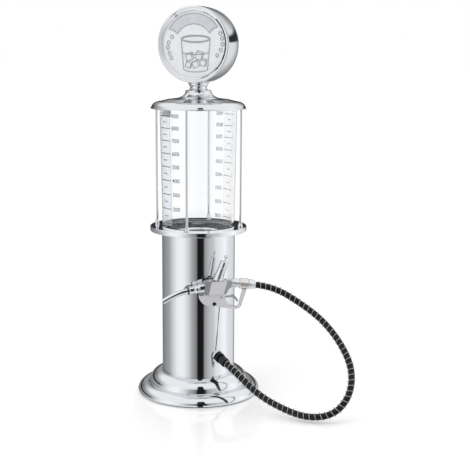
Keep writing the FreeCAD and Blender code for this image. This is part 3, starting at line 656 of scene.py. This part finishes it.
# ---- canister ---------------------------------------------------------------------------------------
@dataclass
class Canister:
    """Clear measure with two printed scales, a frosted film behind each and the numbers on it."""

    foot_radius: float = 46.6 * MM
    foot_height: float = 219.4 * MM
    rim_radius: float = 49.6 * MM
    rim_height: float = 375.0 * MM
    strip_proud: float = 0.4 * MM
    scale_azimuth: float = -55.3            # right-hand edge of the ticks on the front scale
    tick_sweep: float = 26.0
    minor_sweep: float = 10.5
    first_height: float = 228.9 * MM        # the 100 line
    first_gap: float = 19.2 * MM
    gap_change: float = -0.275 * MM
    tick_width: float = 0.85 * MM
    digit_height: float = 4.9 * MM
    digit_azimuth: float = -52.0            # left-hand edge of the numbers

    def build(self) -> None:
        """Dresses the canister and prints both scales."""
        Finishes.CLEAR_SAN.on_nodes("canister")
        parts = [self.ticks(turn) for turn in (0.0, 180.0)] + self.numbers()
        scales = joined("canister_scales", parts)
        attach(scales, "stand")
        films = joined("scale_films", [self.film(turn) for turn in (0.0, 180.0)])
        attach(films, "stand")
        LOG.info("canister scales and films")

    def surface(self, height: float) -> float:
        """Outer radius of the scale strips at a height."""
        share = (height - self.foot_height) / (self.rim_height - self.foot_height)
        return self.foot_radius + share * (self.rim_radius - self.foot_radius) + self.strip_proud

    def line_height(self, hundreds: float) -> float:
        """Height of a graduation; the lines close up as the canister widens."""
        above = hundreds - 1.0
        return self.first_height + self.first_gap * above + self.gap_change * above * above

    def ticks(self, turn: float) -> bpy.types.Object:
        """Long and short lines of one scale.

        Args:
            turn: Degrees from the front scale.

        Returns:
            One mesh of every line.
        """
        pattern = PatternTree("scale_lines")
        sweep = pattern.size("sweep", math.radians(self.tick_sweep))
        start = pattern.size("start", 0.0)
        count = pattern.size("count", 9)
        offset = pattern.size("offset", 0.0)
        low, gap = pattern.size("first height", self.first_height), pattern.size("gap", self.first_gap)
        change = pattern.size("gap change", self.gap_change)
        foot, taper = pattern.size("foot radius", 0.0), pattern.size("taper", 0.0)
        width = pattern.size("line width", self.tick_width)
        arc = pattern.add("GeometryNodeCurveArc", {
            "Resolution": 14, "Radius": 1.0, "Start Angle": start, "Sweep Angle": sweep})
        stripe = pattern.add("GeometryNodeCurvePrimitiveLine", {"Start": (0.0, 0.0, 0.0)})
        tall = pattern.add("ShaderNodeCombineXYZ", {"Y": width})
        pattern.tree.links.new(tall.outputs[0], stripe.inputs["End"])
        points = pattern.add("GeometryNodePoints", {"Count": count})
        index = pattern.add("GeometryNodeInputIndex")
        step = pattern.maths("ADD", index.outputs[0], offset)
        bend = pattern.maths("MULTIPLY", pattern.maths("MULTIPLY", step, step), change)
        height = pattern.maths("ADD", pattern.maths("ADD", low, pattern.maths("MULTIPLY", step, gap)), bend)
        radius = pattern.maths("ADD", foot, pattern.maths("MULTIPLY", height, taper))
        lift = pattern.add("ShaderNodeCombineXYZ", {"Z": height})
        placed = pattern.add("GeometryNodeSetPosition", {"Geometry": points.outputs[0],
                                                         "Position": lift.outputs[0]})
        size = pattern.add("ShaderNodeCombineXYZ", {"X": radius, "Y": radius, "Z": radius})
        copies = pattern.add("GeometryNodeInstanceOnPoints", {
            "Points": placed.outputs[0], "Instance": arc.outputs[0], "Scale": size.outputs[0]})
        real = pattern.add("GeometryNodeRealizeInstances", {"Geometry": copies.outputs[0]})
        ribbon = pattern.add("GeometryNodeCurveToMesh", {"Curve": real.outputs[0],
                                                         "Profile Curve": stripe.outputs[0]})
        pattern.close(ribbon.outputs[0], Finishes.SCALE_INK, smooth=False)
        slope = (self.rim_radius - self.foot_radius) / (self.rim_height - self.foot_height)
        shared = {"foot radius": self.surface(0.0) + 0.05 * MM, "taper": slope}
        # the arc starts on +X, so an azimuth from -Y is turned back by a quarter
        edge = self.scale_azimuth + turn - 90.0
        middle = edge - self.tick_sweep / 2 - self.minor_sweep / 2
        long_lines = pattern.on(mesh_object("long_lines", []), **shared,
                                start=math.radians(edge - self.tick_sweep))
        short_lines = pattern.on(mesh_object("short_lines", []), **shared, count=8, offset=0.5,
                                 start=math.radians(middle), sweep=math.radians(self.minor_sweep))
        return joined("scale_%d" % turn, [long_lines, short_lines])

    def numbers(self) -> List[bpy.types.Object]:
        """The numbers 100 to 900 of both scales, bent to the canister.

        Returns:
            One mesh for each number.
        """
        made = []
        for turn in (0.0, 180.0):
            for hundreds in range(1, 10):
                data = bpy.data.curves.new("number", "FONT")
                data.body = "%d00" % hundreds
                data.size = self.digit_height / 0.7
                data.space_character = 1.12
                data.offset = 0.08 * MM             # a bold stroke
                text = bpy.data.objects.new("number", data)
                bpy.context.scene.collection.objects.link(text)
                bpy.context.view_layer.update()
                mesh = bpy.data.meshes.new_from_object(text.evaluated_get(
                    bpy.context.evaluated_depsgraph_get()))
                bpy.data.objects.remove(text)
                base = self.line_height(hundreds) - self.digit_height / 2
                for vertex in mesh.vertices:
                    height = base + vertex.co.y
                    reach = self.surface(height) + 0.05 * MM
                    angle = self.digit_azimuth + turn + math.degrees(vertex.co.x / reach)
                    vertex.co = around(angle, reach, height)
                mesh.materials.clear()
                mesh.materials.append(Finishes.SCALE_INK.material())
                number = bpy.data.objects.new("number_%d" % hundreds, mesh)
                bpy.context.scene.collection.objects.link(number)
                made.append(number)
        return made

    def film(self, turn: float) -> bpy.types.Object:
        """Frosted film under the lines of one scale.

        Args:
            turn: Degrees from the front scale.

        Returns:
            A thin curved sheet.
        """
        columns, low, high = 16, 226.0 * MM, 369.0 * MM
        start, sweep = self.scale_azimuth + turn + 1.0, -(self.tick_sweep + 2.5)
        points = [around(start + sweep * i / columns, self.surface(z) + 0.02 * MM, z)
                  for z in (low, high) for i in range(columns + 1)]
        row = columns + 1
        faces = [(i + 1, i, row + i, row + i + 1) for i in range(columns)]
        finish = Finishes.REAR_FILM if turn else Finishes.SCALE_FILM
        return mesh_object("film_%d" % turn, points, faces=faces, finish=finish)


# ---- lid, pillars and sign ----------------------------------------------------------------------------
@dataclass
class Crown:
    """Pillars, crown ring, lid and neck."""

    def build(self) -> None:
        """Dresses the nodes between the canister and the sign."""
        Finishes.PILLAR_STEEL.on_nodes(*["pillar_rod_%d" % n for n in (1, 2, 3, 4)])
        Finishes.MIRROR_CHROME.on_nodes("pillar_feet", "crown_ring", "lid_dome", "lid_neck")
        Finishes.LID_PLASTIC.on_nodes("lid_liner")
        Finishes.ZINC_PLATE.on_nodes("lid_stud", "stud_nuts")


@dataclass
class Sign:
    """Round sign: chrome drum and bezels, white faces, and raised line art on each face, coloured grey as
    painted shade of the relief.
    """

    azimuth: float = -30.0
    centre_height: float = 452.6 * MM
    face_distance: float = 17.0 * MM
    line: float = 0.5 * MM

    def build(self) -> None:
        """Dresses the sign and draws the art of both faces."""
        Finishes.MIRROR_CHROME.on_nodes("sign_drum", "sign_bezel_front", "sign_bezel_back")
        Finishes.SIGN_FACE.on_nodes("sign_panel_front", "sign_panel_back")
        for side, azimuth in (("front", self.azimuth), ("back", self.azimuth + 180.0)):
            drawn = [self.strokes(azimuth), self.ribbon(azimuth), self.dots(azimuth)]
            art = joined("sign_art_" + side, drawn)
            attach(art, "lid")
            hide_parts("sign_badge_" + side)
            LOG.info("sign art on the %s", side)

    def place(self, azimuth: float, right: float, up: float, out: float = 0.2) -> Vector:
        """Point on a face from millimetres right of, above and proud of its centre."""
        facing = direction(azimuth)
        across = Vector((-facing.y, facing.x, 0.0))
        return (facing * (self.face_distance + out * MM) + across * (right * MM)
                + Vector((0.0, 0.0, self.centre_height + up * MM)))

    def arc(self, azimuth: float, radius: float, start: float, end: float, steps: int = 28) -> List[Vector]:
        """Points on a circle about the face's centre, angles in degrees from the right."""
        return [self.place(azimuth, radius * math.cos(math.radians(a)), radius * math.sin(math.radians(a)))
                for a in (start + (end - start) * i / steps for i in range(steps + 1))]

    def ellipse(self, azimuth: float, centre: Tuple[float, float], size: Tuple[float, float],
                steps: int = 40) -> List[Vector]:
        """Points on an ellipse of half width and half height."""
        return [self.place(azimuth, centre[0] + size[0] * math.cos(math.tau * i / steps),
                           centre[1] + size[1] * math.sin(math.tau * i / steps)) for i in range(steps)]

    def strokes(self, azimuth: float) -> bpy.types.Object:
        """Line drawing of a tumbler with ice.

        Args:
            azimuth: Where the face points.

        Returns:
            Raised lines as one mesh.
        """
        def row(*spots: Tuple[float, float]) -> List[Vector]:
            return [self.place(azimuth, right, up) for right, up in spots]

        rim, foot = (2.6, 7.0), (2.5, -31.5)
        drawn = [
            (self.ellipse(azimuth, rim, (19.3, 4.5)), True),
            (self.ellipse(azimuth, rim, (17.4, 3.4)), True),
            (row((-16.7, 7.0), (-15.2, -10.0), (-13.5, -30.0)), False),
            (row((21.9, 7.0), (20.4, -10.0), (18.5, -30.0)), False),
            ([self.place(azimuth, foot[0] + 16.0 * math.cos(math.radians(a)),
                         foot[1] + 1.5 + 3.6 * math.sin(math.radians(a))) for a in range(180, 361, 12)],
             False),
            ([self.place(azimuth, foot[0] + 17.0 * math.cos(math.radians(a)),
                         -9.5 + 2.6 * math.sin(math.radians(a))) for a in range(180, 361, 12)], False),
        ]
        for right, up, size, turn in ((-6.5, -15.5, 5.4, 12), (6.6, -14.0, 5.8, -16), (-7.4, -25.0, 4.6, -20),
                                      (2.2, -24.4, 5.0, 24), (12.0, -22.6, 4.8, -8)):
            # an ice cube is a square face with a second face set back behind it
            front = [(right + size * math.cos(math.radians(turn + 45 + 90 * k)),
                      up + size * math.sin(math.radians(turn + 45 + 90 * k))) for k in range(4)]
            rear = [(x + 1.9, y + 1.7) for x, y in front]
            drawn.append((row(*front), True))
            drawn.append((row(front[1], rear[1], rear[0], rear[3], front[3]), False))
            drawn.append((row(front[0], rear[0]), False))
        # the lines' grey is painted shade of the embossed relief
        return tube_tree("sign_line", Finishes.SIGN_LINE_SHADE, self.line, 6).on(lines("sign_strokes", drawn))

    def ribbon(self, azimuth: float) -> bpy.types.Object:
        """Arched banner, left blank, with forked ends.

        Args:
            azimuth: Where the face points.

        Returns:
            A flat raised band with its outline.
        """
        inner, outer, start, end = 25.3, 38.2, 34.0, 150.0
        steps = 30
        low, high = (self.arc(azimuth, r, start, end, steps) for r in (inner, outer))
        face = mesh_object("ribbon_face", low + high,
                           faces=[(i, steps + 1 + i, steps + 2 + i, i + 1) for i in range(steps)],
                           finish=Finishes.SIGN_WASH)
        middle = (inner + outer) / 2
        forks = [self.place(azimuth, middle * math.cos(math.radians(a)), middle * math.sin(math.radians(a)))
                 for a in (start + 4.5, end - 4.5)]
        outline = lines("ribbon_outline", [(low + [forks[1]] + high[::-1] + [forks[0]], True)])
        drawn = tube_tree("ribbon_line", Finishes.SIGN_LINE_SHADE, self.line, 6).on(outline)
        return joined("ribbon", [face, drawn])

    def dots(self, azimuth: float) -> bpy.types.Object:
        """Small rings down each side of the face.

        Args:
            azimuth: Where the face points.

        Returns:
            The rings as one mesh.
        """
        spots = ((-28.9, 9.5), (-33.4, 2.4), (-34.7, -3.7), (-32.5, -10.8), (-30.1, -16.5),
                 (35.1, 13.7), (37.5, 7.6), (38.0, 0.5), (35.8, -6.6), (31.3, -13.1))
        rings = [(self.ellipse(azimuth, spot, (1.9, 2.3), 14), True) for spot in spots]
        return tube_tree("ring_line", Finishes.SIGN_LINE_SHADE, self.line, 6).on(lines("sign_rings", rings))


# ---- nozzle gun ---------------------------------------------------------------------------------------
@dataclass
class NozzleGun:
    """Cast gun with its blasted cover, valve, trigger and fittings."""

    valve_tilt: float = 20.0
    valve_foot: Point = (0.015, -0.0595, 0.161)
    spring_low: float = 1.6 * MM
    spring_high: float = 23.0 * MM
    spring_radius: float = 2.05 * MM
    wire_radius: float = 0.4 * MM
    spring_pitch: float = 2.3 * MM
    travel: float = 2.79 * MM

    def build(self) -> None:
        """Dresses the gun and winds its valve spring."""
        Finishes.BLASTED_NICKEL.on_nodes("nozzle_cover", "nozzle_guard", "cover_screws")
        Finishes.CAST_CHROME.on_nodes("nozzle_body", "valve_tower", "hose_connector")
        Finishes.MIRROR_CHROME.on_nodes("trigger", "valve_cap", "valve_stem", "spout_collar", "spout_tube",
                                        "trigger_pin", "hose_ferrule_gun")
        Finishes.NUT_CHROME.on_nodes("hose_nut")
        Finishes.BLACK_OXIDE.on_nodes("guard_screw")
        Finishes.SEAL_RUBBER.on_nodes("spout_o_ring", "valve_seal")
        self.spring()

    def spring(self) -> None:
        """Winds the valve's return spring inside the tower."""
        tilt = math.radians(self.valve_tilt)
        axis = Vector((math.sin(tilt), 0.0, math.cos(tilt)))
        foot = Vector(self.valve_foot)
        low = foot + axis * (self.spring_low + self.wire_radius)
        high = foot + axis * (self.spring_high - self.wire_radius)
        coil = coil_tree("valve_spring_winding", Finishes.SPRING_WIRE, self.spring_radius,
                         self.wire_radius, self.spring_pitch).on(polyline("valve_spring_wire", [low, high]))
        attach(coil, "gun")
        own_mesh(coil)
        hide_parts("valve_spring")
        LOG.info("valve spring")


# ---- studio -------------------------------------------------------------------------------------------
@dataclass
class Studio:
    """Camera, white floor, and a ring of softboxes and flags that the chrome reflects."""

    camera_place: Point = (-0.2079, -1.2696, 0.4362)
    down: float = 10.026            # degrees below level
    roll: float = 0.381
    lens: float = 76.596
    sensor: float = 36.0
    # azimuth in degrees and brightness: grey room at the back, a softbox on each side, a black flag
    # beside the camera
    ring: Tuple[Tuple[float, float], ...] = (
        (-180, 0.38), (-162, 0.21), (-142, 0.32), (-117, 0.44), (-107, 0.59), (-98, 0.78), (-89, 0.92),
        (-81, 1.07), (-63, 1.13), (-53, 1.03), (-39, 0.76), (-33, 0.57), (-27, 0.43), (-18, 0.31),
        (-14, 0.19), (-11.5, 0.012), (4.7, 0.012), (7.7, 0.12), (10.7, 0.38), (27, 0.63), (37, 0.69),
        (48, 0.93), (75, 1.13), (81, 1.2), (88, 1.11), (101, 0.95), (131, 0.85), (142, 0.5), (159, 0.21),
        (180, 0.38))
    ring_tint: Tuple[float, float, float] = (0.99, 0.995, 1.0)
    flag: Tuple[float, float] = (-11.8, 4.6)            # azimuths of the black flag's two sides
    flag_soft: float = 0.5                              # half the fade at each side
    # heights are sines of the height angle
    flag_height: Tuple[float, float] = (-0.97, 0.82)
    overhead: Tuple[float, float] = (0.35, 0.60)        # fade from the ring to the overhead softbox
    tabletop: Tuple[float, float] = (-0.45, -0.75)      # fade from the ring to the white sheet below
    sweep_top: float = 0.06         # where the white sweep behind ends and the dark room shows
    roof_edge: float = 0.21         # where the overhead softbox behind begins
    height_soft: float = 0.03       # half the fade at each end; the sweep's is half of that
    behind: Tuple[float, float] = (0.1, 0.4)            # depth over which the dark room comes in
    key_energy: float = 5.0
    key_size: float = 1.2
    key_place: Tuple[float, float, float] = (-60.0, 1.3, 1.5)   # azimuth, radius, height
    key_target: Point = (0.0, 0.0, 0.25)

    def build(self) -> None:
        """Sets the camera, the floor and the light."""
        self.camera()
        self.floor()
        self.room()
        self.key_light()
        bpy.context.scene.view_settings.view_transform = "Standard"

    def camera(self) -> None:
        """Places the camera."""
        data = bpy.data.cameras.new("camera")
        data.lens = self.lens
        data.sensor_width = self.sensor
        made = bpy.data.objects.new("camera", data)
        made.location = self.camera_place
        turn = (Matrix.Rotation(math.radians(-CAMERA_HEADING), 3, "Z")
                @ Matrix.Rotation(math.radians(90.0 - self.down), 3, "X")
                @ Matrix.Rotation(math.radians(self.roll), 3, "Z"))
        made.rotation_euler = turn.to_euler()
        bpy.context.scene.collection.objects.link(made)
        bpy.context.scene.camera = made

    def floor(self) -> None:
        """Lays the white floor."""
        half = 60.0
        sheet = mesh_object("floor", [(-half, -half, 0), (half, -half, 0), (half, half, 0), (-half, half, 0)],
                            faces=[(0, 1, 2, 3)], finish=Finishes.STUDIO_FLOOR)
        sheet.visible_glossy = False

    @staticmethod
    def share(azimuth: float) -> float:
        """Where an azimuth in degrees lies on the ring, from 0 to 1."""
        return azimuth / 360 + 0.5

    def room(self) -> None:
        """Makes the world: white to the eye, and the ring of lights in reflections."""
        world = bpy.data.worlds.new("studio")
        world.use_nodes = True
        bpy.context.scene.world = world
        tree = world.node_tree
        tree.nodes.clear()
        place = add_node(tree, "ShaderNodeTexCoord")
        split = add_node(tree, "ShaderNodeSeparateXYZ", {0: place.outputs["Generated"]})
        back = add_node(tree, "ShaderNodeMath", {0: split.outputs["Y"], 1: -1.0}, operation="MULTIPLY")
        angle = add_node(tree, "ShaderNodeMath", {0: split.outputs["X"], 1: back.outputs[0]},
                         operation="ARCTAN2")
        share = add_node(tree, "ShaderNodeMath", {0: angle.outputs[0], 1: 1 / math.tau, 2: 0.5},
                         operation="MULTIPLY_ADD")
        ramp = add_node(tree, "ShaderNodeValToRGB", {0: share.outputs[0]})
        stops = ramp.color_ramp.elements
        while len(stops) > 1:
            stops.remove(stops[-1])
        for number, (azimuth, level) in enumerate(self.ring):
            stop = stops[0] if number == 0 else stops.new(self.share(azimuth))
            stop.position = self.share(azimuth)
            stop.color = (*(level * part for part in self.ring_tint), 1.0)
        across, height = share.outputs[0], split.outputs["Z"]
        (left, right), side = self.flag, self.flag_soft
        (low, high), end = self.flag_height, self.height_soft
        flagged = product(tree, [
            soft_step(tree, across, self.share(left - side), self.share(left + side)),
            soft_step(tree, across, self.share(right + side), self.share(right - side)),
            soft_step(tree, height, low - end, low + end),
            soft_step(tree, height, high + end, high - end)])
        gap_behind = product(tree, [
            soft_step(tree, split.outputs["Y"], *self.behind),
            soft_step(tree, height, self.sweep_top - end / 2, self.sweep_top + end / 2),
            soft_step(tree, height, self.roof_edge + end, self.roof_edge - end)])
        room = ramp.outputs[0]
        for factor, tone in ((soft_step(tree, height, *self.overhead), (1.0, 1.0, 1.0, 1.0)),
                             (soft_step(tree, height, *self.tabletop), (0.9, 0.9, 0.9, 1.0)),
                             (flagged, (0.012, 0.012, 0.012, 1.0)),
                             (gap_behind, (0.03, 0.03, 0.035, 1.0))):
            room = add_node(tree, "ShaderNodeMix", {"Factor": factor, 6: room, 7: tone},
                            data_type="RGBA").outputs[2]
        ray = add_node(tree, "ShaderNodeLightPath")
        through = add_node(tree, "ShaderNodeMath", {0: 1.0, 1: ray.outputs["Is Transmission Ray"]},
                           operation="SUBTRACT")
        mirrored = product(tree, [ray.outputs["Is Glossy Ray"], through.outputs[0]])
        seen = add_node(tree, "ShaderNodeMix", {
            "Factor": mirrored, 6: (1.0, 1.0, 1.0, 1.0), 7: room}, data_type="RGBA")
        light = add_node(tree, "ShaderNodeBackground", {"Color": seen.outputs[2], "Strength": 1.0})
        add_node(tree, "ShaderNodeOutputWorld", {"Surface": light.outputs[0]})

    def key_light(self) -> None:
        """Hangs one big soft light up on the left, unseen in the chrome."""
        data = bpy.data.lights.new("key", "AREA")
        data.energy = self.key_energy
        data.size = self.key_size
        lamp = bpy.data.objects.new("key", data)
        lamp.location = around(*self.key_place)
        lamp.rotation_euler = (Vector(self.key_target) - lamp.location).to_track_quat("-Z", "Y").to_euler()
        lamp.visible_glossy = False
        bpy.context.scene.collection.objects.link(lamp)


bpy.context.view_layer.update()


def main() -> None:
    """Builds the dispenser's looks in order."""
    logging.basicConfig(level=logging.INFO, format="%(name)s: %(message)s")
    for part in (Studio(), HoseLine(), BaseAndColumn(), Canister(), Crown(), Sign(), NozzleGun()):
        part.build()
        LOG.info("built %s", type(part).__name__)


if __name__ == "__main__":
    main()
